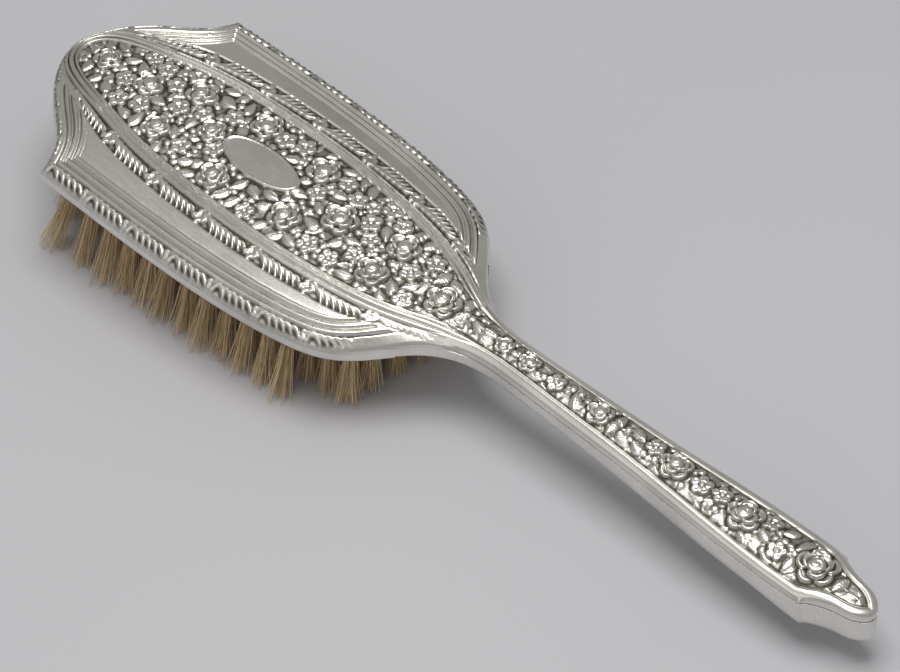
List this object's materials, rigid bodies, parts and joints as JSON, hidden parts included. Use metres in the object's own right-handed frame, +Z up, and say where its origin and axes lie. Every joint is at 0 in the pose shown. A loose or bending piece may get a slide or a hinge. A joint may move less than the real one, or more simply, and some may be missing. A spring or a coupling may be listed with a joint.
{
  "type": "vanity hairbrush",
  "caption": "Silver-backed vanity hairbrush with a rose-relief back, bracket-shaped head, slim tapering handle and rows of natural bristle tufts.",
  "frame": {"origin": "on the plane of the bristle tips, under the middle of the overall length and width", "axes": "+X from the head end to the tip of the handle, +Z up, away from the bristle tips"},
  "size_m": [0.2449, 0.0658, 0.0338],
  "materials": {
    "silver": "polished silver with darkened recesses",
    "board_wood": "smooth varnished close-grained wood",
    "natural_bristle": "natural straw to brown bristle",
    "drawing_wire": "bright drawn wire",
    "pitch": "dull dark pitch cement",
    "steel": "plain rolled strip"
  },
  "bodies": {
    "root": {"back_stamping": "silver", "handle_under_shell": "silver", "bristle_board": "board_wood", "head_filler": "pitch", "handle_filler": "pitch", "neck_strip": "steel", "bristle_row_1": "natural_bristle", "drawing_wire_1": "drawing_wire", "bristle_row_2": "natural_bristle", "drawing_wire_2": "drawing_wire", "bristle_row_3": "natural_bristle", "drawing_wire_3": "drawing_wire", "bristle_row_4": "natural_bristle", "drawing_wire_4": "drawing_wire", "bristle_row_5": "natural_bristle", "drawing_wire_5": "drawing_wire", "bristle_row_6": "natural_bristle", "drawing_wire_6": "drawing_wire", "bristle_row_7": "natural_bristle", "drawing_wire_7": "drawing_wire", "bristle_row_8": "natural_bristle", "drawing_wire_8": "drawing_wire", "bristle_row_9": "natural_bristle", "drawing_wire_9": "drawing_wire"}
  },
  "joints": []
}
